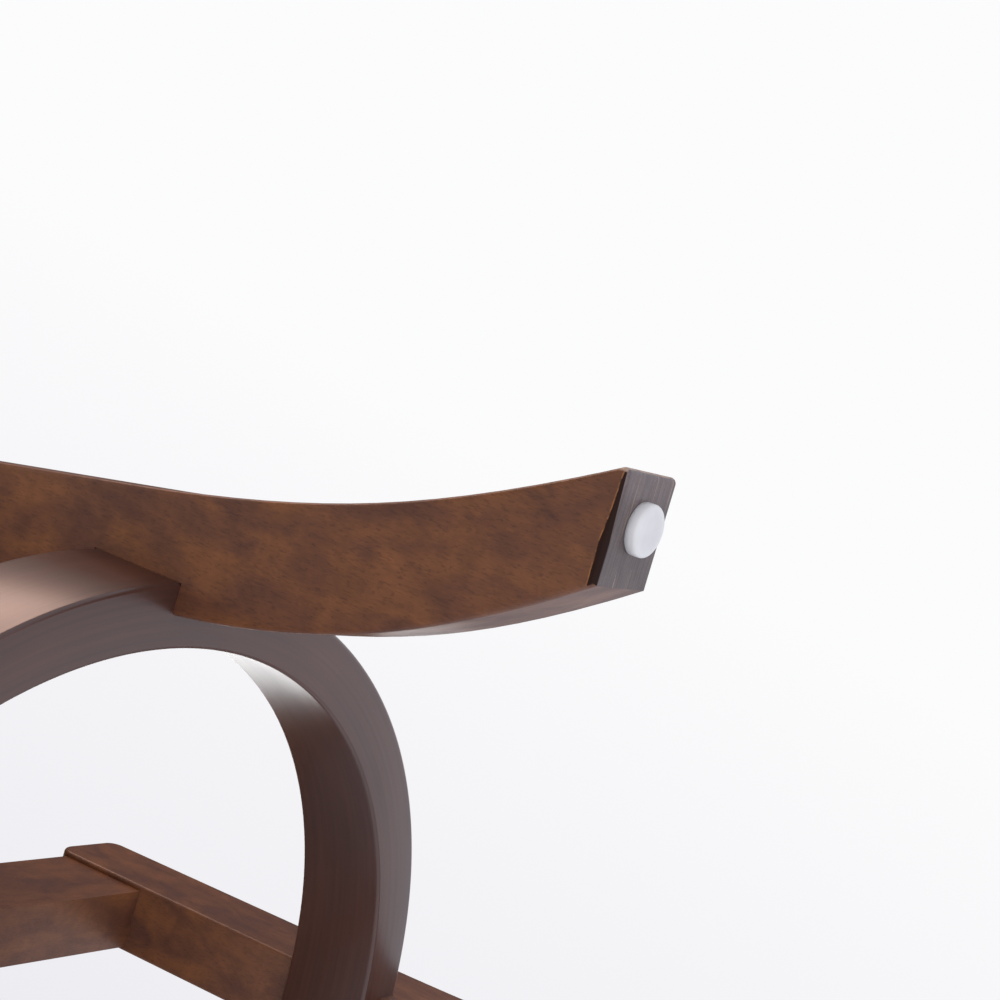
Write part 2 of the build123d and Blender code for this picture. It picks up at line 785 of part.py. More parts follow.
with BuildPart() as arm:
    with BuildSketch(arm_plane):
        with BuildLine():
            bend_start = (0, arm_level - arm_bend_radius)
            bend_end = (arm_bend_radius, arm_level)
            Line((0, rim_bottom), bend_start)
            RadiusArc(bend_start, bend_end, arm_bend_radius)
            Line(bend_end, (arm_run + arm_tail, arm_level))
        trace(line_width=arm_depth)
    extrude(amount=arm_width / 2, both=True)
    cheeks = arm.faces().sort_by(Axis((0, 0, 0), arm_plane.z_dir))
    tail_end = arm.faces().sort_by(Axis((0, 0, 0), arm_plane.x_dir))[-1]
    square_edges = cheeks[0].edges() + cheeks[-1].edges()
    square_edges += tail_end.edges().filter_by(Axis((0, 0, 0), arm_plane.z_dir))
    fillet(square_edges, radius=bent_edge_round)
    # housings over the rim and over the hoop's side, and the bolt holes
    with BuildSketch(Plane.XY.offset(rim_bottom)):
        Circle(rim_outer_radius)
    extrude(amount=rim_height, mode=Mode.SUBTRACT)
    with BuildSketch(back_plane):
        with BuildLine():
            Polyline(
                (0, 0),
                (hoop_side(0) + inset, 0),
                (bow_end[0] + inset, bow_end[1]),
                (0, bow_end[1]),
                close=True,
            )
        make_face()
    extrude(amount=hoop_thickness / 2, both=True, mode=Mode.SUBTRACT)
    for seat, grip in ((front_arm_bolt_plane, arm_bolt_grip), (rear_arm_bolt_plane, arm_tail_bolt_grip)):
        add(bored(seat, bolt_diameter, grip), mode=Mode.SUBTRACT)
        back_out = Plane(origin=seat.origin, z_dir=-seat.z_dir)
        add(bored(back_out, bolt_head_diameter + 2 * head_clearance, arm_width), mode=Mode.SUBTRACT)
write(arm, "arm_right")

with BuildPart() as arm_left:
    mirror(arm.part, about=Plane.YZ)
write(arm_left, "arm_left")

for place, seat, grip in (
    ("front", front_arm_bolt_plane, arm_bolt_grip),
    ("rear", rear_arm_bolt_plane, arm_tail_bolt_grip),
):
    arm_bolt = fastener(seat, bolt_diameter, grip, bolt_head_diameter, bolt_head_height)
    write(arm_bolt, f"arm_bolt_{place}_right")
    with BuildPart() as arm_bolt_left:
        mirror(arm_bolt.part, about=Plane.YZ)
    write(arm_bolt_left, f"arm_bolt_{place}_left")

with BuildPart() as rim:
    with BuildSketch(Plane.XY.offset(rim_bottom)):
        Circle(rim_outer_radius)
        Circle(rim_inner_radius, mode=Mode.SUBTRACT)
    extrude(amount=rim_height)
    fillet(rim.edges(), radius=edge_round)
    for hand in (-1, 1):
        arm_bore = bored(front_arm_bolt_plane, bolt_diameter, arm_bolt_grip)
        hoop_bore = bored(hoop_bolt_plane, bolt_diameter, hoop_bolt_grip)
        if hand < 0:
            arm_bore = arm_bore.mirror(Plane.YZ)
            hoop_bore = hoop_bore.mirror(Plane.YZ)
        add(arm_bore, mode=Mode.SUBTRACT)
        add(hoop_bore, mode=Mode.SUBTRACT)
write(rim, "seat_rim")
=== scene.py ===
import math

import bmesh
import bpy
from mathutils import Matrix, Vector
from mathutils.bvhtree import BVHTree


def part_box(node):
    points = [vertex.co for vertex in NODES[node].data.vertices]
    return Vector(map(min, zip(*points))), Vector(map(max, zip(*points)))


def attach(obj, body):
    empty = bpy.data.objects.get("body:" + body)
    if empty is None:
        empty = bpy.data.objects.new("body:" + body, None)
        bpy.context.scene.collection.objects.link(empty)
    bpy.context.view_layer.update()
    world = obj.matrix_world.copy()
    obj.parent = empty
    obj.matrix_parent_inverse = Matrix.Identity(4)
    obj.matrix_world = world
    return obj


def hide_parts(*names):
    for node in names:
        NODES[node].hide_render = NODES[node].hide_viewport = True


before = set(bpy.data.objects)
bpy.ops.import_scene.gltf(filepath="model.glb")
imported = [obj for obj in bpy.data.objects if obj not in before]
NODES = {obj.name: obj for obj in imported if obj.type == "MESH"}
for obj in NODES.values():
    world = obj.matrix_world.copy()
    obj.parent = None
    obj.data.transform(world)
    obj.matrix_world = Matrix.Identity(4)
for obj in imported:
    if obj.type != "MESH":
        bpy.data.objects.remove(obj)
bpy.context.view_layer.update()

bl_info = {
    "name": "Swivel Rocking Chair",
    "version": (1, 0, 0),
    "blender": (4, 5, 0),
    "location": "3D View > Sidebar > Chair",
    "description": "Finishes, glides, cushion and studio for a bentwood swivel rocking chair",
    "category": "Object",
}

MM = 0.001


def middle(node):
    """Middle of a frame node's box."""
    low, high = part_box(node)
    return (Vector(low) + Vector(high)) / 2


# Places read from the frame
AXIS = middle("ring_stretcher").to_2d()
RING_LOW, RING_HIGH = (Vector(corner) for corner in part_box("ring_stretcher"))
RING_RADIUS = (RING_HIGH.x - RING_LOW.x) / 2
RIM_LOW, RIM_HIGH = (Vector(corner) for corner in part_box("seat_rim"))
BOARD_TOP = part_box("seat_board")[1][2]
PAD_LOW, PAD_HIGH = (Vector(corner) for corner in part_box("seat_cushion"))
HOOP_LOW, HOOP_HIGH = (Vector(corner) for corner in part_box("back_hoop"))
ARM_LOW, ARM_HIGH = (Vector(corner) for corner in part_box("arm_right"))
LEG_LOW, LEG_HIGH = (Vector(corner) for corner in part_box("leg_front_right"))
TIP_REACH = (Vector((LEG_HIGH.x, LEG_LOW.y)) - AXIS).length
CORNERS = ("front_right", "rear_right", "rear_left", "front_left")

# Shapes that the grain and the foot's finish follow
ARM_BEND = 75 * MM
ARM_DEPTH = 20 * MM
SLAT_LEAN = math.radians(14)
SOLE_LENGTH = 35 * MM
SAWN_FADE = (12 * MM, 20 * MM)
BORDER_WIDTH = (0.3 * MM, 2.6 * MM)

# Steps round the turned pieces
RING_STEPS = 288
PIPING_STEPS = 180

# The cushion: how its cover is cut, stuffed and settled
BOARD_LIFT = 1 * MM
SEAM_ROUND = 5 * MM
VOXEL = 5 * MM
STUFFING_PRESSURE = 4.0
STUFFING_FRAMES = 20
SMOOTHING_ROUNDS = 10
BOARD_GAP = 0.2 * MM
RIM_GAP = 1.5 * MM
OVERHANG = 4 * MM
OVERHANG_RISE = 8 * MM
CROWN_LEVEL = 20 * MM
PIPING_DROP = 15 * MM
PIPING_ROUNDS = 6
BUTTON_SINK = 1.5 * MM

# The floor shows fully up to the first distance and is gone at the second
FLOOR_SIZE = 6.0
FLOOR_FADE = (0.5, 2.4)

# The close view, on axes at the ring's centre that point out along the front right leg, aside
# and down. The place is in ring radii.
VIEW_PLACE = (1.50226, 2.42801, 2.02270)
VIEW_RIGHT = (0.28118, -0.52228, 0.80508)
VIEW_UP = (0.95711, 0.09162, -0.27484)
VIEW_AHEAD = (-0.06978, -0.84784, -0.52564)
VIEW_LENS = 64.9


class ChairSizes(bpy.types.PropertyGroup):
    """Sizes of the pieces made here"""

    glide_round: bpy.props.FloatProperty(
        name="Glide rim", description="Rounding of a glide's rim", default=1.5 * MM, unit="LENGTH"
    )
    glide_dish: bpy.props.FloatProperty(
        name="Glide dish", description="How far a glide's middle is dished", default=0.3 * MM, unit="LENGTH"
    )
    ring_depth: bpy.props.FloatProperty(
        name="Ring depth", description="Depth of the ring stretcher's wood", default=22.4 * MM, unit="LENGTH"
    )
    rim_depth: bpy.props.FloatProperty(
        name="Rim depth", description="Depth of the seat rim's wood", default=20 * MM, unit="LENGTH"
    )
    ring_edge: bpy.props.FloatProperty(
        name="Ring edge", description="Rounding of the bent rings' edges", default=1.6 * MM, unit="LENGTH"
    )
    counterbore: bpy.props.FloatProperty(
        name="Counterbore", description="Width of a screw's counterbore", default=9.6 * MM, unit="LENGTH"
    )
    counterbore_depth: bpy.props.FloatProperty(
        name="Counterbore depth", description="Depth of a screw's counterbore", default=4 * MM, unit="LENGTH"
    )
    piping_radius: bpy.props.FloatProperty(
        name="Piping", description="Radius of the cushion's piping", default=3.2 * MM, unit="LENGTH"
    )
    cushion_ease: bpy.props.FloatProperty(
        name="Cushion ease", description="Extra cut that the stuffing takes up", default=8 * MM, unit="LENGTH"
    )
    button_pull: bpy.props.FloatProperty(
        name="Button pull",
        description="How deep the button draws the top down",
        default=24 * MM,
        unit="LENGTH",
    )
    cushion_edge: bpy.props.FloatProperty(
        name="Cushion border", description="Height of the cushion's border", default=40 * MM, unit="LENGTH"
    )
    cushion_cap: bpy.props.FloatProperty(
        name="Stuffing",
        description="Most that the stuffing pushes the cloth out",
        default=14 * MM,
        unit="LENGTH",
    )
    button_radius: bpy.props.FloatProperty(
        name="Button", description="Radius of the covered button", default=15 * MM, unit="LENGTH"
    )


class ChairColours(bpy.types.PropertyGroup):
    """Colours of the wood and the cloth"""

    walnut_light: bpy.props.StringProperty(
        name="Walnut light", description="Lightest tone of the stained beech", default="#915A34"
    )
    walnut_mid: bpy.props.StringProperty(
        name="Walnut middle", description="Middle tone of the stained beech", default="#663C28"
    )
    walnut_dark: bpy.props.StringProperty(
        name="Walnut dark", description="Darkest tone of the stained beech", default="#321F18"
    )
    bentwood_light: bpy.props.StringProperty(
        name="Bentwood light", description="Light tone of the stained bentwood", default="#573429"
    )
    bentwood_dark: bpy.props.StringProperty(
        name="Bentwood dark", description="Dark tone of the stained bentwood", default="#41271F"
    )
    cloth: bpy.props.StringProperty(
        name="Cushion cloth", description="Oatmeal linen of the cushion", default="#C9BDA6"
    )
    cloth_weft: bpy.props.StringProperty(
        name="Cloth weft", description="Darker weft threads of the cloth", default="#A79A82"
    )


def linear(code):
    """A hex colour in sRGB as linear red, green, blue and alpha."""
    parts = [int(code[i : i + 2], 16) / 255 for i in (1, 3, 5)]
    return (*(p / 12.92 if p <= 0.04045 else ((p + 0.055) / 1.055) ** 2.4 for p in parts), 1.0)


def add(tree, kind, inputs=(), out=0, **settings):
    """Adds a shader node with its settings and links, and returns one of its outputs."""
    node = tree.nodes.new("ShaderNode" + kind)
    for name, value in settings.items():
        setattr(node, name, value)
    pairs = inputs.items() if isinstance(inputs, dict) else enumerate(inputs)
    for key, value in pairs:
        if isinstance(value, bpy.types.NodeSocket):
            tree.links.new(value, node.inputs[key])
        else:
            node.inputs[key].default_value = value
    return node if out is None else node.outputs[out]


def new_material(name):
    """An empty node material with its shader, and its object coordinates."""
    material = bpy.data.materials.new(name)
    material.use_nodes = True
    tree = material.node_tree
    tree.nodes.clear()
    output = tree.nodes.new("ShaderNodeOutputMaterial")
    shader = tree.nodes.new("ShaderNodeBsdfPrincipled")
    tree.links.new(shader.outputs[0], output.inputs["Surface"])
    place = add(tree, "TexCoord", out="Object")
    return material, tree, shader, place


# --- Grain directions ----------------------------------------------------------------------


def from_axis(tree, place):
    """Place measured from the swivel axis, split into x, y and z."""
    centred = add(tree, "VectorMath", (place, (AXIS.x, AXIS.y, 0)), operation="SUBTRACT")
    return add(tree, "SeparateXYZ", (centred,), out=None)


def leg_grain(tree, place):
    """Across, through and along a leg: reach from the axis, offset from the spoke, height."""
    part = from_axis(tree, place)
    x, y, z = part.outputs
    product = add(tree, "Math", (x, y), operation="MULTIPLY")
    other_diagonal = add(tree, "Math", (product, 0.0), operation="GREATER_THAN")
    added = add(tree, "Math", (x, y), operation="ADD")
    taken = add(tree, "Math", (x, y), operation="SUBTRACT")
    offset = add(tree, "Mix", {0: other_diagonal, 2: added, 3: taken})
    offset = add(tree, "Math", (offset, math.sqrt(0.5)), operation="MULTIPLY")
    flat = add(tree, "CombineXYZ", (x, y, 0.0))
    reach = add(tree, "VectorMath", (flat,), out="Value", operation="LENGTH")
    return add(tree, "CombineXYZ", (reach, offset, z))


def rail_grain(tree, place):
    """Grain along a crossed rail."""
    leg = add(tree, "SeparateXYZ", (leg_grain(tree, place),), out=None)
    return add(tree, "CombineXYZ", (leg.outputs[2], leg.outputs[1], leg.outputs[0]))


def ring_grain(tree, place, radius=RING_RADIUS):
    """Grain round a bent ring: across its depth, through its height, along its circumference."""
    x, y, z = from_axis(tree, place).outputs
    flat = add(tree, "CombineXYZ", (x, y, 0.0))
    reach = add(tree, "VectorMath", (flat,), out="Value", operation="LENGTH")
    turn = add(tree, "Math", (y, x), operation="ARCTAN2")
    along = add(tree, "Math", (turn, radius), operation="MULTIPLY")
    return add(tree, "CombineXYZ", (reach, z, along))


def upright_grain(tree, place):
    """Grain along the leaning slats."""
    return add(tree, "Mapping", {0: place, "Rotation": (-SLAT_LEAN, 0, 0)})


def cross_grain(tree, place):
    """Grain from side to side."""
    x, y, z = add(tree, "SeparateXYZ", (place,), out=None).outputs
    return add(tree, "CombineXYZ", (z, y, x))


def fore_aft_grain(tree, place):
    """Grain from front to back."""
    x, y, z = add(tree, "SeparateXYZ", (place,), out=None).outputs
    return add(tree, "CombineXYZ", (x, z, y))


def hoop_grain(tree, place):
    """Grain up the hoop's sides and round its bow."""
    bow_radius = (HOOP_HIGH.x - HOOP_LOW.x) / 2
    bow_level = HOOP_HIGH.z - bow_radius
    x, y, z = add(tree, "SeparateXYZ", (place,), out=None).outputs
    over = add(tree, "Math", (z, bow_level), operation="SUBTRACT")
    rise = add(tree, "Math", (over, 0.0), operation="MAXIMUM")
    side = add(tree, "Math", (x,), operation="ABSOLUTE")
    flat = add(tree, "CombineXYZ", (side, rise, 0.0))
    across = add(tree, "VectorMath", (flat,), out="Value", operation="LENGTH")
    turn = add(tree, "Math", (rise, side), operation="ARCTAN2")
    bent = add(tree, "Math", (turn, bow_radius), operation="MULTIPLY")
    below = add(tree, "Math", (over, 0.0), operation="MINIMUM")
    along = add(tree, "Math", (bent, below), operation="ADD")
    return add(tree, "CombineXYZ", (across, y, along))


def arm_grain(tree, place):
    """Grain up an arm's upright, round its bend and back along it."""
    x, y, z = add(tree, "SeparateXYZ", (place,), out=None).outputs
    ahead = add(tree, "Math", (ARM_LOW.y + ARM_DEPTH / 2 + ARM_BEND, y), operation="SUBTRACT")
    front = add(tree, "Math", (ahead, 0.0), operation="MAXIMUM")
    over = add(tree, "Math", (z, ARM_HIGH.z - ARM_DEPTH / 2 - ARM_BEND), operation="SUBTRACT")
    rise = add(tree, "Math", (over, 0.0), operation="MAXIMUM")
    flat = add(tree, "CombineXYZ", (front, rise, 0.0))
    across = add(tree, "VectorMath", (flat,), out="Value", operation="LENGTH")
    turn = add(tree, "Math", (rise, front), operation="ARCTAN2")
    bent = add(tree, "Math", (turn, ARM_BEND), operation="MULTIPLY")
    below = add(tree, "Math", (over, 0.0), operation="MINIMUM")
    behind = add(tree, "Math", (ahead, 0.0), operation="MINIMUM")
    along = add(tree, "Math", (bent, below), operation="ADD")
    along = add(tree, "Math", (along, behind), operation="SUBTRACT")
    return add(tree, "CombineXYZ", (across, x, along))


# --- Materials -----------------------------------------------------------------------------


def grain_noise(tree, grain, across_mm, along_mm, detail=3.0, roughness=0.55, distortion=0.0):
    """Noise drawn out along the grain, with its cell size across and along it in millimetres."""
    scale = (1 / (across_mm * MM), 1 / (across_mm * MM), 1 / (along_mm * MM))
    mapped = add(tree, "Mapping", {0: grain, "Scale": scale})
    inputs = {
        "Vector": mapped,
        "Scale": 1.0,
        "Detail": detail,
        "Roughness": roughness,
        "Distortion": distortion,
    }
    return add(tree, "TexNoise", inputs, out="Fac")


def stained_beech(name, grain_of, light, mid, dark, curl=0.16, end_face=False):
    """Walnut-stained beech under satin lacquer: fine pores drawn along the grain, short dark ray
    flecks, faint curl across it, and stain that lies uneven in soft clouds."""
    material, tree, shader, place = new_material(name)
    grain = grain_of(tree, place)
    pores = grain_noise(tree, grain, 0.6, 5, detail=4.0, roughness=0.7)
    rays = grain_noise(tree, grain, 0.5, 2.2, detail=2.0)
    curls = grain_noise(tree, grain, 16, 7, detail=2.5, roughness=0.5, distortion=0.35)
    clouds = grain_noise(tree, grain, 12, 24, detail=4.0, distortion=0.5)
    pore_tone = add(tree, "MapRange", {0: pores, 1: 0.33, 2: 0.67})
    curl_tone = add(tree, "MapRange", {0: curls, 1: 0.35, 2: 0.65})
    cloud_tone = add(tree, "MapRange", {0: clouds, 1: 0.36, 2: 0.66})
    body = add(tree, "Mix", {0: pore_tone, 6: linear(dark), 7: linear(mid)}, out=2, data_type="RGBA")
    warm = add(tree, "Mix", {0: cloud_tone, 6: linear(mid), 7: linear(light)}, out=2, data_type="RGBA")
    body = add(tree, "Mix", {0: 0.64, 6: body, 7: warm}, out=2, data_type="RGBA")
    shade = add(tree, "MapRange", {0: curl_tone, 3: 1.0 - 0.5 * curl, 4: 1.0 + 0.4 * curl})
    body = add(tree, "VectorMath", {0: body, 3: shade}, operation="SCALE")
    fleck = add(tree, "MapRange", {0: rays, 1: 0.54, 2: 0.72, 3: 0.0, 4: 0.45})
    body = add(tree, "Mix", {0: fleck, 6: body, 7: linear(dark)}, out=2, data_type="RGBA")
    height = add(tree, "Math", (pores, 0.5), operation="MULTIPLY")
    if end_face:
        body, height, border = sawn_foot(tree, place, grain, body, height)
    tree.links.new(body, shader.inputs["Base Color"])
    bump = add(tree, "Bump", {"Height": height, "Strength": 0.25, "Distance": 0.12 * MM})
    tree.links.new(bump, shader.inputs["Normal"])
    gloss = add(tree, "MapRange", {0: clouds, 1: 0.3, 2: 0.7, 3: 0.46, 4: 0.36})
    tree.links.new(gloss, shader.inputs["Roughness"])
    shader.inputs["Coat Weight"].default_value = 0.12
    shader.inputs["Coat Roughness"].default_value = 0.2
    if end_face:
        # the sealed border at the foot is dull
        shine = add(tree, "MapRange", {0: border, 3: 0.5, 4: 0.12})
        tree.links.new(shine, shader.inputs["Specular IOR Level"])
        coat = add(tree, "MapRange", {0: border, 3: 0.12, 4: 0.0})
        tree.links.new(coat, shader.inputs["Coat Weight"])
    return material


def sawn_foot(tree, place, grain, body, height):
    """The sawn foot: greyed veneer edges with a few bare pale lines, a dark sealed border that is
    widest at the heel, a worn thread of bare wood along it, and a tip scuffed pale."""
    foot = LEG_LOW.z
    heel_reach = TIP_REACH - SOLE_LENGTH
    normal = add(tree, "NewGeometry", out="Normal")
    facing = add(tree, "SeparateXYZ", (normal,), out=None).outputs[2]
    reach = add(tree, "SeparateXYZ", (grain,), out=None).outputs[0]
    # the edge is sharp at the tip and worn round at the heel, so the sole's grey stops sooner there
    start = add(tree, "MapRange", {0: reach, 1: TIP_REACH, 2: heel_reach, 3: -0.3, 4: -0.93})
    stop = add(tree, "Math", (start, 0.06), operation="SUBTRACT")
    down = add(tree, "MapRange", {0: facing, 1: start, 2: stop})
    level = add(tree, "SeparateXYZ", (place,), out=None).outputs[2]
    low = add(tree, "MapRange", {0: level, 1: SAWN_FADE[1], 2: SAWN_FADE[0]})
    mask = add(tree, "Math", (down, low), operation="MULTIPLY")
    veneer = add(tree, "Mapping", {0: grain, "Scale": (1 / (26 * MM), 1 / (0.6 * MM), 1 / (26 * MM))})
    veneer = add(tree, "TexNoise", {"Vector": veneer, "Scale": 1.0, "Detail": 3.0}, out="Fac")
    lines = add(tree, "MapRange", {0: veneer, 1: 0.36, 2: 0.66, 3: 0.28, 4: 0.66})
    sawn = add(tree, "Mix", {0: lines, 6: linear("#4C403D"), 7: linear("#8C7A78")}, out=2, data_type="RGBA")
    bare = add(tree, "Mapping", {0: grain, "Scale": (1 / (40 * MM), 1 / (1.3 * MM), 1 / (40 * MM))})
    bare = add(tree, "TexNoise", {"Vector": bare, "Scale": 1.0, "Detail": 1.0}, out="Fac")
    bare = add(tree, "MapRange", {0: bare, 1: 0.66, 2: 0.72, 3: 0.0, 4: 0.7})
    sawn = add(tree, "Mix", {0: bare, 6: sawn, 7: linear("#B39C88")}, out=2, data_type="RGBA")
    speckle = grain_noise(tree, grain, 0.6, 0.6, detail=2.0)
    speckle = add(tree, "MapRange", {0: speckle, 1: 0.3, 2: 0.7, 3: 0.82, 4: 1.16})
    sawn = add(tree, "VectorMath", {0: sawn, 3: speckle}, operation="SCALE")
    blotch = grain_noise(tree, grain, 7, 7, detail=3.0)
    blotch = add(tree, "MapRange", {0: blotch, 1: 0.35, 2: 0.7, 3: 0.82, 4: 1.1})
    sawn = add(tree, "VectorMath", {0: sawn, 3: blotch}, operation="SCALE")
    # the sole is darker towards the heel
    dark_end, light_end = TIP_REACH - 34 * MM, TIP_REACH - 12 * MM
    heel = add(tree, "MapRange", {0: reach, 1: dark_end, 2: light_end, 3: 0.72, 4: 1.03})
    sawn = add(tree, "VectorMath", {0: sawn, 3: heel}, operation="SCALE")
    # how far a face looks out along the leg: the tip's does, and the flanks' don't
    spoke = add(tree, "VectorMath", (place, (AXIS.x, AXIS.y, 0)), operation="SUBTRACT")
    spoke = add(tree, "VectorMath", (spoke, (1, 1, 0)), operation="MULTIPLY")
    spoke = add(tree, "VectorMath", (spoke,), operation="NORMALIZE")
    outward = add(tree, "VectorMath", (normal, spoke), out="Value", operation="DOT_PRODUCT")
    # the border's height, up the leg's flanks from the sole, from the tip back to the heel
    ragged = grain_noise(tree, grain, 6, 6, detail=2.0)
    ragged = add(tree, "MapRange", {0: ragged, 1: 0.3, 2: 0.7, 3: -0.2 * MM, 4: 0.2 * MM})
    tip_width, heel_width = BORDER_WIDTH
    width = add(tree, "MapRange", {0: reach, 1: TIP_REACH, 2: heel_reach, 3: tip_width, 4: heel_width})
    width = add(tree, "Math", (width, ragged), operation="ADD")
    over = add(tree, "Math", (level, foot), operation="SUBTRACT")
    over = add(tree, "Math", (over, width), operation="SUBTRACT")
    flank = add(tree, "Math", (outward,), operation="ABSOLUTE")
    flank = add(tree, "MapRange", {0: flank, 1: 0.55, 2: 0.35})
    border = add(tree, "MapRange", {0: over, 1: 0.25 * MM, 2: -0.15 * MM})
    border = add(tree, "Math", (border, flank), operation="MULTIPLY")
    body = add(tree, "Mix", {0: border, 6: body, 7: linear("#2B1913")}, out=2, data_type="RGBA")
    # the worn thread of bare wood just above the border
    thread = add(tree, "Math", (over, 0.15 * MM, 0.2 * MM), operation="COMPARE")
    worn = grain_noise(tree, grain, 4, 4, detail=2.0)
    worn = add(tree, "MapRange", {0: worn, 1: 0.45, 2: 0.56, 3: 0.0, 4: 0.6})
    thread = add(tree, "Math", (thread, worn), operation="MULTIPLY")
    thread = add(tree, "Math", (thread, flank), operation="MULTIPLY")
    body = add(tree, "Mix", {0: thread, 6: body, 7: linear("#A9713F")}, out=2, data_type="RGBA")
    scuff = add(tree, "MapRange", {0: outward, 1: 0.25, 2: 0.5})
    near = add(tree, "MapRange", {0: level, 1: foot + 3.4 * MM, 2: foot + 2.2 * MM})
    scuff = add(tree, "Math", (scuff, near), operation="MULTIPLY")
    pale = add(tree, "Mix", {0: worn, 6: linear("#8F7565"), 7: linear("#C2A48F")}, out=2, data_type="RGBA")
    body = add(tree, "Mix", {0: scuff, 6: body, 7: pale}, out=2, data_type="RGBA")
    body = add(tree, "Mix", {0: mask, 6: body, 7: sawn}, out=2, data_type="RGBA")
    height = add(tree, "Mix", {0: mask, 2: height, 3: veneer})
    border = add(tree, "Mix", {0: mask, 2: border, 3: 0.0})
    return body, height, border


def bent_beech(name, grain_of, light, dark):
    """Bent laminated beech, stained darker than the legs: long veneer lines run with the bend and
    the satin lacquer lies smooth, so it shows broad soft highlights."""
    material, tree, shader, place = new_material(name)
    grain = grain_of(tree, place)
    veneers = grain_noise(tree, grain, 1.6, 160, detail=3.0)
    pores = grain_noise(tree, grain, 0.7, 26, detail=3.0)
    clouds = grain_noise(tree, grain, 20, 60, detail=2.0)
    tone = add(tree, "Mix", {0: 0.45, 2: veneers, 3: clouds})
    tone = add(tree, "MapRange", {0: tone, 1: 0.3, 2: 0.7})
    body = add(tree, "Mix", {0: tone, 6: linear(dark), 7: linear(light)}, out=2, data_type="RGBA")
    fleck = add(tree, "MapRange", {0: pores, 1: 0.60, 2: 0.74, 3: 0.0, 4: 0.4})
    body = add(tree, "Mix", {0: fleck, 6: body, 7: linear(dark)}, out=2, data_type="RGBA")
    tree.links.new(body, shader.inputs["Base Color"])
    bump = add(tree, "Bump", {"Height": pores, "Strength": 0.15, "Distance": 0.1 * MM})
    tree.links.new(bump, shader.inputs["Normal"])
    gloss = add(tree, "MapRange", {0: clouds, 1: 0.3, 2: 0.7, 3: 0.36, 4: 0.30})
    tree.links.new(gloss, shader.inputs["Roughness"])
    shader.inputs["Coat Weight"].default_value = 0.5
    shader.inputs["Coat Roughness"].default_value = 0.24
    return material


def birch_plywood():
    """Birch plywood, sealed: pale face veneer with fine brown pores."""
    material, tree, shader, place = new_material("sealed_birch_plywood")
    grain = cross_grain(tree, place)
    pores = grain_noise(tree, grain, 1.5, 60, detail=4.0)
    clouds = grain_noise(tree, grain, 40, 160)
    tone = add(tree, "Mix", {0: 0.5, 2: pores, 3: clouds})
    tone = add(tree, "MapRange", {0: tone, 1: 0.35, 2: 0.65})
    body = add(tree, "Mix", {0: tone, 6: linear("#9C7B52"), 7: linear("#C9A97C")}, out=2, data_type="RGBA")
    tree.links.new(body, shader.inputs["Base Color"])
    shader.inputs["Roughness"].default_value = 0.55
    return material


def moulded_nylon(name, tint):
    """Natural nylon, injection moulded: milky, lit a little from within, softly shiny, with the
    faintest orange-peel on its faces."""
    material, tree, shader, place = new_material(name)
    peel = add(tree, "TexNoise", {"Vector": place, "Scale": 1 / (0.9 * MM), "Detail": 2.0}, out="Fac")
    cloud = add(tree, "TexNoise", {"Vector": place, "Scale": 1 / (6 * MM), "Detail": 2.0}, out="Fac")
    cloud = add(tree, "MapRange", {0: cloud, 1: 0.3, 2: 0.7, 3: 0.96, 4: 1.02})
    body = add(tree, "VectorMath", {0: linear(tint)[:3], 3: cloud}, operation="SCALE")
    tree.links.new(body, shader.inputs["Base Color"])
    bump = add(tree, "Bump", {"Height": peel, "Strength": 0.12, "Distance": 0.05 * MM})
    tree.links.new(bump, shader.inputs["Normal"])
    shader.inputs["Roughness"].default_value = 0.34
    shader.inputs["IOR"].default_value = 1.53
    shader.inputs["Subsurface Weight"].default_value = 0.85
    shader.inputs["Subsurface Radius"].default_value = (1.0, 1.0, 1.0)
    shader.inputs["Subsurface Scale"].default_value = 4 * MM
    return material


def moulded_rubber():
    """Black natural rubber, moulded: deep grey-black, dull, with a fine bloom."""
    material, tree, shader, place = new_material("moulded_black_rubber")
    bloom = add(tree, "TexNoise", {"Vector": place, "Scale": 1 / (8 * MM), "Detail": 5.0}, out="Fac")
    bloom = add(tree, "MapRange", {0: bloom, 1: 0.4, 2: 0.75})
    body = add(tree, "Mix", {0: bloom, 6: linear("#161617"), 7: linear("#2A2A2B")}, out=2, data_type="RGBA")
    tree.links.new(body, shader.inputs["Base Color"])
    shader.inputs["Roughness"].default_value = 0.62
    return material


def powder_coat():
    """Black powder coat over pressed steel: even satin black with a fine leathery peel."""
    material, tree, shader, place = new_material("black_powder_coat")
    peel = add(tree, "TexNoise", {"Vector": place, "Scale": 1 / (0.8 * MM), "Detail": 2.0}, out="Fac")
    dust = add(tree, "TexNoise", {"Vector": place, "Scale": 1 / (30 * MM), "Detail": 6.0}, out="Fac")
    dust = add(tree, "MapRange", {0: dust, 1: 0.45, 2: 0.8, 4: 0.5})
    body = add(tree, "Mix", {0: dust, 6: linear("#1B1B1D"), 7: linear("#2D2C2B")}, out=2, data_type="RGBA")
    tree.links.new(body, shader.inputs["Base Color"])
    bump = add(tree, "Bump", {"Height": peel, "Strength": 0.3, "Distance": 0.08 * MM})
    tree.links.new(bump, shader.inputs["Normal"])
    shader.inputs["Roughness"].default_value = 0.42
    return material


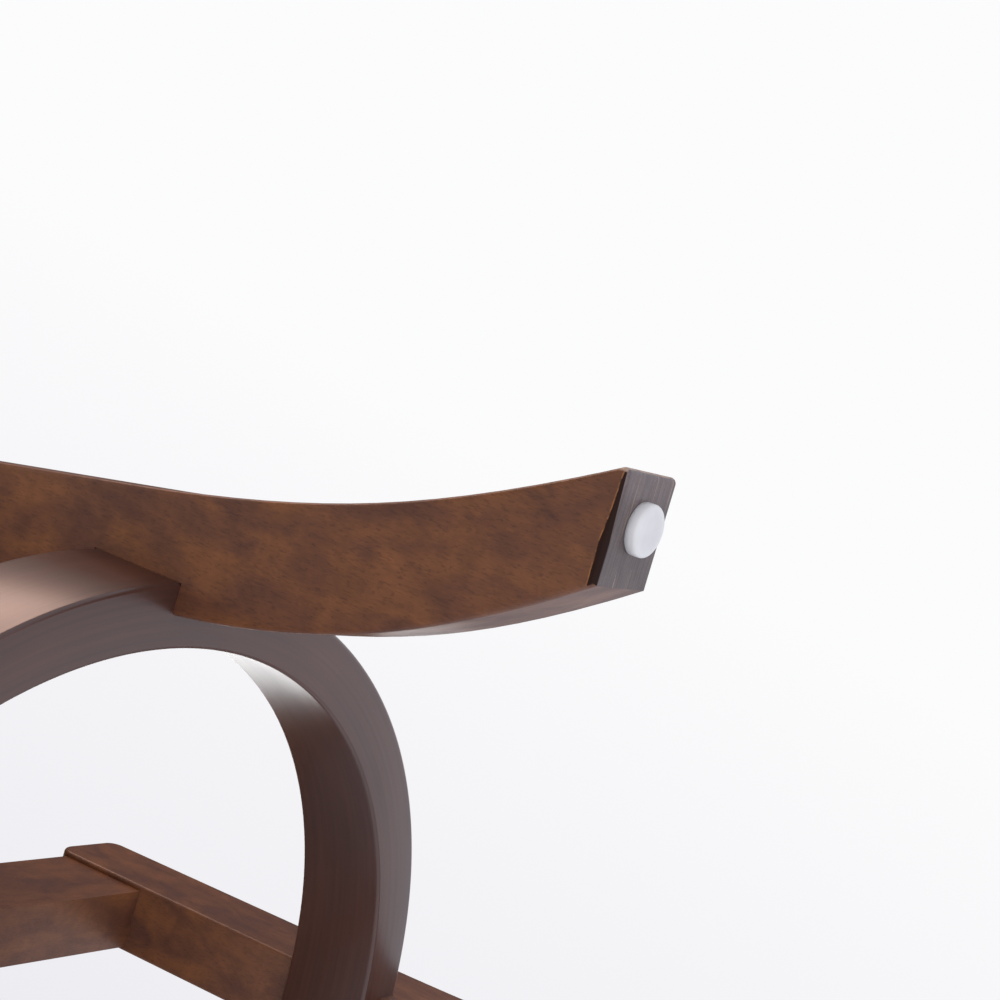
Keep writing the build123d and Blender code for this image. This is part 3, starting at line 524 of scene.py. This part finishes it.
def plated_steel(name, tint, roughness, mottle_mm):
    """Steel with a thin plated or turned finish: bright metal with fine mottling in its shine."""
    material, tree, shader, place = new_material(name)
    mottle = add(tree, "TexNoise", {"Vector": place, "Scale": 1 / (mottle_mm * MM), "Detail": 4.0}, out="Fac")
    tone = add(tree, "MapRange", {0: mottle, 1: 0.3, 2: 0.7, 3: 0.88, 4: 1.05})
    body = add(tree, "VectorMath", {0: linear(tint)[:3], 3: tone}, operation="SCALE")
    tree.links.new(body, shader.inputs["Base Color"])
    gloss = add(tree, "MapRange", {0: mottle, 1: 0.3, 2: 0.7, 3: roughness + 0.08, 4: roughness - 0.06})
    tree.links.new(gloss, shader.inputs["Roughness"])
    shader.inputs["Metallic"].default_value = 1.0
    return material


def woven_linen(colours):
    """Plain-woven linen upholstery: slubby warp and weft that cross every 1.8 mm, drawn coarser
    than the cloth's 0.9 mm so that the weave shows, with a soft sheen at grazing angles."""
    material, tree, shader, place = new_material("woven_oatmeal_linen")
    x, y, z = from_axis(tree, place).outputs
    normal = add(tree, "SeparateXYZ", (add(tree, "NewGeometry", out="Normal"),), out=None).outputs[2]
    upright = add(tree, "Math", (normal,), operation="ABSOLUTE")
    border = add(tree, "MapRange", {0: upright, 1: 0.62, 2: 0.55})
    turn = add(tree, "Math", (y, x), operation="ARCTAN2")
    round_edge = add(tree, "Math", (turn, (PAD_HIGH.x - PAD_LOW.x) / 2), operation="MULTIPLY")
    warp_place = add(tree, "Mix", {0: border, 2: x, 3: round_edge})
    weft_place = add(tree, "Mix", {0: border, 2: y, 3: z})
    pitch = math.pi / (1.8 * MM)
    threads = []
    for spot in (warp_place, weft_place):
        phase = add(tree, "Math", (spot, pitch), operation="MULTIPLY")
        threads.append(add(tree, "Math", (phase,), operation="SINE"))
    cross = add(tree, "Math", (threads[0], threads[1]), operation="MULTIPLY")
    over = add(tree, "MapRange", {0: cross, 1: -0.25, 2: 0.25})
    slub = add(tree, "TexNoise", {"Vector": place, "Scale": 1 / (9 * MM), "Detail": 4.0}, out="Fac")
    slub = add(tree, "MapRange", {0: slub, 1: 0.3, 2: 0.7, 3: 0.88, 4: 1.08})
    tones = {0: over, 6: linear(colours.cloth_weft), 7: linear(colours.cloth)}
    body = add(tree, "Mix", tones, out=2, data_type="RGBA")
    body = add(tree, "VectorMath", {0: body, 3: slub}, operation="SCALE")
    tree.links.new(body, shader.inputs["Base Color"])
    lifted = add(tree, "Math", (cross,), operation="ABSOLUTE")
    bump = add(tree, "Bump", {"Height": lifted, "Strength": 0.55, "Distance": 0.35 * MM})
    tree.links.new(bump, shader.inputs["Normal"])
    shader.inputs["Roughness"].default_value = 0.88
    shader.inputs["Sheen Weight"].default_value = 0.25
    shader.inputs["Sheen Roughness"].default_value = 0.5
    return material


# --- Meshes --------------------------------------------------------------------------------


def finish_piece(name, bm, material, body):
    """Makes an object from a bmesh, with its material, body and slot."""
    bmesh.ops.remove_doubles(bm, verts=bm.verts[:], dist=1e-6)
    bmesh.ops.recalc_face_normals(bm, faces=bm.faces[:])
    mesh = bpy.data.meshes.new(name)
    bm.to_mesh(mesh)
    bm.free()
    for face in mesh.polygons:
        face.use_smooth = True
    mesh.materials.append(material)
    piece = bpy.data.objects.new(name, mesh)
    bpy.context.scene.collection.objects.link(piece)
    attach(piece, body)
    return piece


def spun(profile, centre, steps=96):
    """A bmesh of a closed round piece: a profile of (radius, height) turned about a vertical."""
    bm = bmesh.new()
    points = [bm.verts.new((radius, 0, height)) for radius, height in profile]
    edges = [bm.edges.new(pair) for pair in zip(points, points[1:])]
    bmesh.ops.spin(
        bm,
        geom=points + edges,
        cent=(0, 0, 0),
        axis=(0, 0, 1),
        angle=2 * math.pi,
        steps=steps,
        use_merge=True,
    )
    bmesh.ops.remove_doubles(bm, verts=bm.verts[:], dist=1e-6)
    bmesh.ops.translate(bm, verts=bm.verts[:], vec=centre)
    return bm


def arc(centre_r, centre_z, radius, start, stop, steps):
    """Points on a quarter round of a profile, from a start to a stop angle in degrees."""
    angles = [math.radians(start + (stop - start) * i / steps) for i in range(steps + 1)]
    return [(centre_r + radius * math.cos(a), centre_z + radius * math.sin(a)) for a in angles]


class CHAIR_OT_finishes(bpy.types.Operator):
    """Gives every frame piece its finish"""

    bl_idname = "chair.finishes"
    bl_label = "Finishes"

    def execute(self, context):
        tones = context.scene.chair_colours
        walnut = (tones.walnut_light, tones.walnut_mid, tones.walnut_dark)
        bent = (tones.bentwood_light, tones.bentwood_dark)
        ring_beech = bent_beech("stained_bentwood_ring", ring_grain, *bent)
        black_bolt = plated_steel("blackened_steel_bolts", "#3A3633", 0.42, 3)
        zinc = plated_steel("zinc_plated_screws", "#C7C5BE", 0.34, 2)
        bright = plated_steel("turned_bright_steel", "#C4C4C4", 0.26, 5)
        coat = powder_coat()
        rubber = moulded_rubber()
        bush = moulded_nylon("moulded_bush_nylon", "#DEDBD2")
        finishes = {
            "leg_": stained_beech("walnut_stained_leg_beech", leg_grain, *walnut, end_face=True),
            "top_rail_": stained_beech("walnut_stained_rail_beech", rail_grain, *walnut),
            "back_slat_": stained_beech("walnut_stained_slat_beech", upright_grain, *walnut, curl=0.25),
            "back_rail": stained_beech("walnut_stained_cross_beech", cross_grain, *walnut, curl=0.25),
            "seat_bearer_": stained_beech("walnut_stained_bearer_beech", fore_aft_grain, *walnut),
            "ring_stretcher": ring_beech,
            "seat_rim": ring_beech,
            "back_hoop": bent_beech("stained_bentwood_hoop", hoop_grain, *bent),
            "arm_left": bent_beech("stained_bentwood_arm_left", arm_grain, *bent),
            "arm_right": bent_beech("stained_bentwood_arm_right", arm_grain, *bent),
            "seat_board": birch_plywood(),
            "swivel_base_plate": coat,
            "rocker_bracket": coat,
            "seat_cradle": coat,
            "rail_bolt_": black_bolt,
            "hoop_bolt_": black_bolt,
            "arm_bolt_": black_bolt,
            "cradle_bolt_": black_bolt,
            "ring_screw_": zinc,
            "plate_screw_": zinc,
            "ball_ring": bright,
            "swivel_pin": bright,
            "pivot_shaft": bright,
            "shaft_clip_": bright,
            "pivot_bush_": bush,
            "torsion_rubber": rubber,
            "tilt_buffer_": rubber,
            # the pieces made below take the place of these two
            "glide_": bush,
            "seat_cushion": bush,
        }
        for name, piece in NODES.items():
            starts = [start for start in finishes if name.startswith(start)]
            if not starts:
                raise RuntimeError(f"no finish for {name}")
            piece.data.materials[0] = finishes[max(starts, key=len)]
        return {"FINISHED"}


class CHAIR_OT_rings(bpy.types.Operator):
    """Makes the bent rings: the stretcher, bored for its screws, and the seat's rim"""

    bl_idname = "chair.rings"
    bl_label = "Bent rings"

    def execute(self, context):
        sizes = context.scene.chair_sizes
        beech = bpy.data.materials["stained_bentwood_ring"]
        for name, node, depth, body in (
            ("bent_ring_stretcher", "ring_stretcher", sizes.ring_depth, "base"),
            ("bent_seat_rim", "seat_rim", sizes.rim_depth, "seat"),
        ):
            low, high = (Vector(corner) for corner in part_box(node))
            outside = (high.x - low.x) / 2
            inside = outside - depth
            edge = sizes.ring_edge
            profile = arc(outside - edge, low.z + edge, edge, -90, 0, 5)
            profile += arc(outside - edge, high.z - edge, edge, 0, 90, 5)
            profile += arc(inside + edge, high.z - edge, edge, 90, 180, 5)
            profile += arc(inside + edge, low.z + edge, edge, 180, 270, 5)
            profile.append(profile[0])
            bm = spun(profile, (AXIS.x, AXIS.y, 0), steps=RING_STEPS)
            ring = finish_piece(name, bm, beech, body)
            if node == "ring_stretcher":
                self.bore(ring, inside)
            ring.data.set_sharp_from_angle(angle=math.radians(40))
            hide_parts(node)
        return {"FINISHED"}

    def bore(self, ring, inside):
        """Sinks a counterbore for each screw's head into the ring's inner face."""
        sizes = bpy.context.scene.chair_sizes
        cutters = bmesh.new()
        for corner in CORNERS:
            screw = middle(f"ring_screw_{corner}")
            spoke = Vector((screw.x - AXIS.x, screw.y - AXIS.y, 0)).normalized()
            made = bmesh.ops.create_cone(
                cutters,
                cap_ends=True,
                segments=40,
                radius1=sizes.counterbore / 2,
                radius2=sizes.counterbore / 2,
                depth=2 * sizes.counterbore_depth,
            )
            turned = spoke.to_track_quat("Z", "Y").to_matrix().to_4x4()
            spot = Vector((AXIS.x, AXIS.y, screw.z)) + spoke * inside
            bmesh.ops.transform(cutters, matrix=Matrix.Translation(spot) @ turned, verts=made["verts"])
        mesh = bpy.data.meshes.new("counterbores")
        cutters.to_mesh(mesh)
        cutters.free()
        cutter = bpy.data.objects.new("counterbores", mesh)
        bpy.context.scene.collection.objects.link(cutter)
        cut = ring.modifiers.new("counterbore", "BOOLEAN")
        cut.object = cutter
        cut.operation = "DIFFERENCE"
        cut.solver = "EXACT"
        ring.data = evaluated_mesh(ring)
        ring.modifiers.clear()
        bpy.data.objects.remove(cutter)


class CHAIR_OT_glides(bpy.types.Operator):
    """Makes the four nail-on floor glides"""

    bl_idname = "chair.glides"
    bl_label = "Glides"

    def execute(self, context):
        sizes = context.scene.chair_sizes
        nylon = moulded_nylon("moulded_white_nylon", "#EAE9E7")
        for corner in CORNERS:
            node = f"glide_{corner}"
            low, high = (Vector(point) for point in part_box(node))
            centre = middle(node)
            radius = (high.x - low.x) / 2
            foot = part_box(f"leg_{corner}")[0][2]
            rim = sizes.glide_round
            shoulder = 0.3 * MM
            profile = [(0.0, low.z + sizes.glide_dish), (radius * 0.4, low.z + sizes.glide_dish * 0.6)]
            profile += [(radius * 0.62, low.z + sizes.glide_dish * 0.15)]
            profile += arc(radius - rim, low.z + rim, rim, -90, 0, 6)
            profile += arc(radius - shoulder, foot - shoulder, shoulder, 0, 90, 3)
            profile += [(0.0, foot)]
            bm = spun(profile, (centre.x, centre.y, 0))
            glide = finish_piece(f"nylon_glide_{corner}", bm, nylon, "base")
            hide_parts(node)
        return {"FINISHED"}


def evaluated_mesh(piece):
    """The piece's mesh with its modifiers applied."""
    graph = bpy.context.evaluated_depsgraph_get()
    return bpy.data.meshes.new_from_object(piece.evaluated_get(graph))


def surface(piece):
    """The piece's mesh as it stands, to cast rays at."""
    bm = bmesh.new()
    bm.from_mesh(piece.data)
    tree = BVHTree.FromBMesh(bm)
    bm.free()
    return tree


def stuff(piece, cap):
    """Blows a closed cover out with cloth pressure, letting no point move further than cap, and
    smooths it."""
    scene = bpy.context.scene
    remesh = piece.modifiers.new("even_cells", "REMESH")
    remesh.mode = "VOXEL"
    remesh.voxel_size = VOXEL
    piece.data = evaluated_mesh(piece)
    piece.modifiers.clear()
    before = [v.co.copy() for v in piece.data.vertices]
    cloth = piece.modifiers.new("stuffing", "CLOTH")
    cloth.settings.use_pressure = True
    cloth.settings.uniform_pressure_force = STUFFING_PRESSURE
    cloth.settings.effector_weights.gravity = 0.0
    cloth.settings.tension_stiffness = 15.0
    cloth.settings.compression_stiffness = 15.0
    cloth.settings.bending_stiffness = 0.5
    cloth.point_cache.frame_start = 1
    cloth.point_cache.frame_end = STUFFING_FRAMES
    for number in range(1, STUFFING_FRAMES + 1):
        scene.frame_set(number)
    piece.data = evaluated_mesh(piece)
    piece.modifiers.clear()
    scene.frame_set(1)
    for vertex, start in zip(piece.data.vertices, before):
        move = vertex.co - start
        if move.length > cap:
            vertex.co = start + move * (cap / move.length)
    bm = bmesh.new()
    bm.from_mesh(piece.data)
    for _ in range(SMOOTHING_ROUNDS):
        bmesh.ops.smooth_vert(
            bm, verts=bm.verts[:], factor=0.5, use_axis_x=True, use_axis_y=True, use_axis_z=True
        )
    bm.to_mesh(piece.data)
    bm.free()


class CHAIR_OT_cushion(bpy.types.Operator):
    """Makes the round boxed cushion with its piping and covered button"""

    bl_idname = "chair.cushion"
    bl_label = "Cushion"

    def execute(self, context):
        sizes = context.scene.chair_sizes
        linen = woven_linen(context.scene.chair_colours)
        axis = Vector((AXIS.x, AXIS.y, 0))
        cut_radius = (PAD_HIGH.x - PAD_LOW.x) / 2
        cut_radius += sizes.cushion_ease
        bm = bmesh.new()
        bmesh.ops.create_circle(bm, cap_ends=True, segments=96, radius=cut_radius)
        bmesh.ops.translate(bm, verts=bm.verts[:], vec=(AXIS.x, AXIS.y, BOARD_TOP + BOARD_LIFT))
        grown = bmesh.ops.extrude_face_region(bm, geom=bm.faces[:])
        top = [item for item in grown["geom"] if isinstance(item, bmesh.types.BMVert)]
        bmesh.ops.translate(bm, verts=top, vec=(0, 0, sizes.cushion_edge))
        bmesh.ops.recalc_face_normals(bm, faces=bm.faces[:])
        rims = [edge for edge in bm.edges if abs(edge.verts[0].co.z - edge.verts[1].co.z) < 1e-6]
        bmesh.ops.bevel(
            bm, geom=rims, offset=SEAM_ROUND, segments=3, profile=0.5, affect="EDGES", material=-1
        )
        pad = finish_piece("seat_cushion_cover", bm, linen, "seat")
        stuff(pad, sizes.cushion_cap)
        self.dress(pad, axis)
        subdivide = pad.modifiers.new("soft_cloth", "SUBSURF")
        subdivide.levels = 1
        subdivide.render_levels = 1
        pad.data = evaluated_mesh(pad)
        pad.modifiers.clear()
        for face in pad.data.polygons:
            face.use_smooth = True
        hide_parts("seat_cushion")
        self.pipe(pad, axis, linen)
        self.button(pad, axis, linen)
        return {"FINISHED"}

    def dress(self, pad, axis):
        """Keeps the cover on the board and inside the rim, and pulls its middle down to the button."""
        sizes = bpy.context.scene.chair_sizes
        inside = (RIM_HIGH.x - RIM_LOW.x) / 2 - sizes.rim_depth - RIM_GAP
        over = inside + OVERHANG
        crown = BOARD_TOP + CROWN_LEVEL
        for vertex in pad.data.vertices:
            vertex.co.z = max(vertex.co.z, BOARD_TOP + BOARD_GAP)
            offset = vertex.co - axis
            reach = offset.to_2d().length
            share = min(max((vertex.co.z - RIM_HIGH.z) / OVERHANG_RISE, 0), 1)
            limit = inside + (over - inside) * share
            if reach > limit:
                vertex.co.x = AXIS.x + offset.x * limit / reach
                vertex.co.y = AXIS.y + offset.y * limit / reach
            if vertex.co.z > crown:
                pull = 0.5 * math.exp(-((reach / (sizes.button_radius * 2.6)) ** 2))
                pull += 0.5 * math.exp(-reach / (sizes.button_radius * 1.3))
                # seven soft folds run in to the button
                turn = math.atan2(offset.y, offset.x)
                folds = 1 + 0.10 * math.cos(7 * turn + 0.6) * math.exp(-((reach - 0.035) / 0.03) ** 2)
                vertex.co.z -= sizes.button_pull * pull * folds

    def pipe(self, pad, axis, linen):
        """Covered piping along the seam between the top and the border."""
        sizes = bpy.context.scene.chair_sizes
        tree = surface(pad)
        radius = (PAD_HIGH.x - PAD_LOW.x) / 2
        top = max(v.co.z for v in pad.data.vertices)
        level = top - PIPING_DROP
        seam = []
        for step in range(PIPING_STEPS):
            turn = 2 * math.pi * step / PIPING_STEPS
            out = Vector((math.cos(turn), math.sin(turn), 0))
            start = axis + out * (radius + 60 * MM) + Vector((0, 0, level))
            hit = tree.ray_cast(start, -out)[0]
            if hit is None:
                raise RuntimeError("the piping found no cushion to lie on")
            seam.append((hit - axis).to_2d().length)
        # each stretch of piping pulls its neighbours straight
        for _ in range(PIPING_ROUNDS):
            seam = [(seam[i - 1] + seam[i] + seam[(i + 1) % PIPING_STEPS]) / 3 for i in range(PIPING_STEPS)]
        profile = arc(radius, level, sizes.piping_radius, 0, 360, 12)
        bm = spun(profile, (AXIS.x, AXIS.y, 0), steps=PIPING_STEPS)
        for vertex in bm.verts:
            offset = (vertex.co - axis).to_2d()
            turn = math.atan2(offset.y, offset.x) % (2 * math.pi)
            step = round(turn * PIPING_STEPS / (2 * math.pi)) % PIPING_STEPS
            shift = offset.normalized() * (seam[step] - radius)
            vertex.co += Vector((shift.x, shift.y, 0))
        piece = finish_piece("cushion_piping", bm, linen, "seat")

    def button(self, pad, axis, linen):
        """The covered button that holds the middle down."""
        sizes = bpy.context.scene.chair_sizes
        tree = surface(pad)
        hit = tree.ray_cast(axis + Vector((0, 0, 1)), Vector((0, 0, -1)))[0]
        if hit is None:
            raise RuntimeError("the button found no cushion to sit on")
        radius = sizes.button_radius
        low = hit.z - BUTTON_SINK
        profile = [(0.0, low), (radius * 0.8, low)]
        profile += arc(radius - 1.6 * MM, low + 2.4 * MM, 1.6 * MM, -60, 30, 5)
        profile += [(radius * 0.72, low + 5.2 * MM), (radius * 0.4, low + 6.4 * MM), (0.0, low + 6.8 * MM)]
        bm = spun(profile, (AXIS.x, AXIS.y, 0), steps=64)
        finish_piece("cushion_button", bm, linen, "seat")


class CHAIR_OT_stage(bpy.types.Operator):
    """Makes the floor, the soft studio light and the camera"""

    bl_idname = "chair.stage"
    bl_label = "Stage"

    def execute(self, context):
        self.floor()
        self.surround(context)
        self.lamps()
        self.camera(context)
        context.scene.view_settings.view_transform = "Standard"
        return {"FINISHED"}

    def floor(self):
        """A pale floor that shows from above and lets light and sight through from below."""
        bm = bmesh.new()
        bmesh.ops.create_grid(bm, x_segments=2, y_segments=2, size=FLOOR_SIZE)
        mesh = bpy.data.meshes.new("studio_floor")
        bm.to_mesh(mesh)
        bm.free()
        floor = bpy.data.objects.new("studio_floor", mesh)
        bpy.context.scene.collection.objects.link(floor)
        material = bpy.data.materials.new("pale_studio_floor")
        material.use_nodes = True
        tree = material.node_tree
        tree.nodes.clear()
        seen = add(tree, "LightPath", out="Is Camera Ray")
        back = add(tree, "NewGeometry", out="Backfacing")
        front = add(tree, "Math", (1.0, back), operation="SUBTRACT")
        shown = add(tree, "Math", (seen, front), operation="MULTIPLY")
        spot = add(tree, "TexCoord", out="Object")
        away = add(tree, "VectorMath", (spot,), out="Value", operation="LENGTH")
        near = add(tree, "MapRange", {0: away, 1: FLOOR_FADE[1], 2: FLOOR_FADE[0]})
        shown = add(tree, "Math", (shown, near), operation="MULTIPLY")
        lit = add(tree, "BsdfDiffuse", {"Color": linear("#D9D9DB")})
        glow = add(tree, "Emission", {"Color": linear("#FFFFFF"), "Strength": 0.42})
        pale = add(tree, "AddShader", (lit, glow))
        clear = add(tree, "BsdfTransparent")
        both = add(tree, "MixShader", (shown, clear, pale))
        output = tree.nodes.new("ShaderNodeOutputMaterial")
        tree.links.new(both, output.inputs["Surface"])
        mesh.materials.append(material)

    def surround(self, context):
        """White paper below and to the horizon and a dark ceiling to light the chair, and a pale
        backdrop to see behind it, with painted shade that greys it a little to one side."""
        world = bpy.data.worlds.new("white_surround")
        context.scene.world = world
        world.use_nodes = True
        tree = world.node_tree
        tree.nodes.clear()
        way = add(tree, "TexCoord", out="Generated")
        rise = add(tree, "SeparateXYZ", (way,), out=None).outputs[2]
        glow = add(tree, "MapRange", {0: rise, 1: 0.12, 2: 0.5, 3: 0.9, 4: 0.13})
        # painted shade: the backdrop greys towards this side for the camera only, and lights nothing
        shaded_backdrop_side = (-0.8118, 0.5627, 0.1551)
        lean = add(tree, "VectorMath", (way, shaded_backdrop_side), out="Value", operation="DOT_PRODUCT")
        painted_backdrop_shade = add(tree, "MapRange", {0: lean, 1: -0.02, 2: 0.36})
        tones = {0: painted_backdrop_shade, 6: (0.972, 0.972, 0.98, 1.0), 7: (0.845, 0.836, 0.878, 1.0)}
        tone = add(tree, "Mix", tones, out=2, data_type="RGBA")
        seen = add(tree, "LightPath", out="Is Camera Ray")
        lit = add(tree, "Background", {"Color": (0.915, 0.93, 1.02, 1.0), "Strength": glow})
        shown = add(tree, "Background", {"Color": tone, "Strength": 1.0})
        both = add(tree, "MixShader", (seen, lit, shown))
        output = tree.nodes.new("ShaderNodeOutputWorld")
        tree.links.new(both, output.inputs["Surface"])

    def lamps(self):
        """Softboxes: a warm key from the right, one from behind, a wide one overhead and a fill."""
        aim = Vector((0, 0, 0.35))
        for name, place, size, power, tint in (
            ("key_softbox", (1.9, -1.15, 1.95), 1.1, 19, (1.0, 0.69, 0.57)),
            ("rear_softbox", (0.65, 1.9, 1.65), 1.0, 7, (1.0, 1.0, 1.0)),
            ("top_softbox", (-0.3, -0.1, 2.7), 1.6, 48, (1.0, 0.99, 0.97)),
            ("fill_softbox", (-2.0, -1.6, 0.9), 1.6, 12, (1.0, 0.98, 0.95)),
        ):
            light = bpy.data.lights.new(name, "AREA")
            light.size = size
            light.energy = power
            light.color = tint
            lamp = bpy.data.objects.new(name, light)
            lamp.location = place
            lamp.rotation_euler = (aim - Vector(place)).to_track_quat("-Z", "Y").to_euler()
            # the fill only lightens shadows, and no shine shows it
            lamp.visible_glossy = name != "fill_softbox"
            bpy.context.scene.collection.objects.link(lamp)

    def camera(self, context):
        """A close view along the front right foot, from below and with the leg lying across."""
        turn = math.radians(-45)
        out = Vector((math.cos(turn), math.sin(turn), 0))
        aside = Vector((math.sin(turn), -math.cos(turn), 0))
        down = Vector((0, 0, -1))
        base = Matrix((out, aside, down)).transposed()
        centre = Vector((AXIS.x, AXIS.y, RING_LOW.z))
        right = base @ Vector(VIEW_RIGHT)
        up = base @ Vector(VIEW_UP)
        ahead = base @ Vector(VIEW_AHEAD)
        lens = bpy.data.cameras.new("close_view")
        lens.sensor_width = 36
        lens.lens = VIEW_LENS
        lens.clip_start = 0.01
        camera = bpy.data.objects.new("close_view", lens)
        turned = Matrix((right, up, -ahead)).transposed().to_4x4()
        place = centre + base @ Vector(VIEW_PLACE) * RING_RADIUS
        camera.matrix_world = Matrix.Translation(place) @ turned
        context.scene.collection.objects.link(camera)
        context.scene.camera = camera


class CHAIR_PT_panel(bpy.types.Panel):
    """The chair's sizes, colours and steps"""

    bl_label = "Rocking Chair"
    bl_space_type = "VIEW_3D"
    bl_region_type = "UI"
    bl_category = "Chair"

    def draw(self, context):
        for group in (context.scene.chair_sizes, context.scene.chair_colours):
            for name in group.__annotations__:
                self.layout.prop(group, name)
        for operator in OPERATORS:
            self.layout.operator(operator.bl_idname)


OPERATORS = (CHAIR_OT_finishes, CHAIR_OT_rings, CHAIR_OT_glides, CHAIR_OT_cushion, CHAIR_OT_stage)
CLASSES = (ChairSizes, ChairColours, *OPERATORS, CHAIR_PT_panel)


def register():
    for cls in CLASSES:
        bpy.utils.register_class(cls)
    bpy.types.Scene.chair_sizes = bpy.props.PointerProperty(type=ChairSizes)
    bpy.types.Scene.chair_colours = bpy.props.PointerProperty(type=ChairColours)


def unregister():
    del bpy.types.Scene.chair_colours
    del bpy.types.Scene.chair_sizes
    for cls in reversed(CLASSES):
        bpy.utils.unregister_class(cls)


def main():
    register()
    bpy.ops.chair.finishes()
    bpy.ops.chair.rings()
    bpy.ops.chair.glides()
    bpy.ops.chair.cushion()
    bpy.ops.chair.stage()


if __name__ == "__main__":
    main()
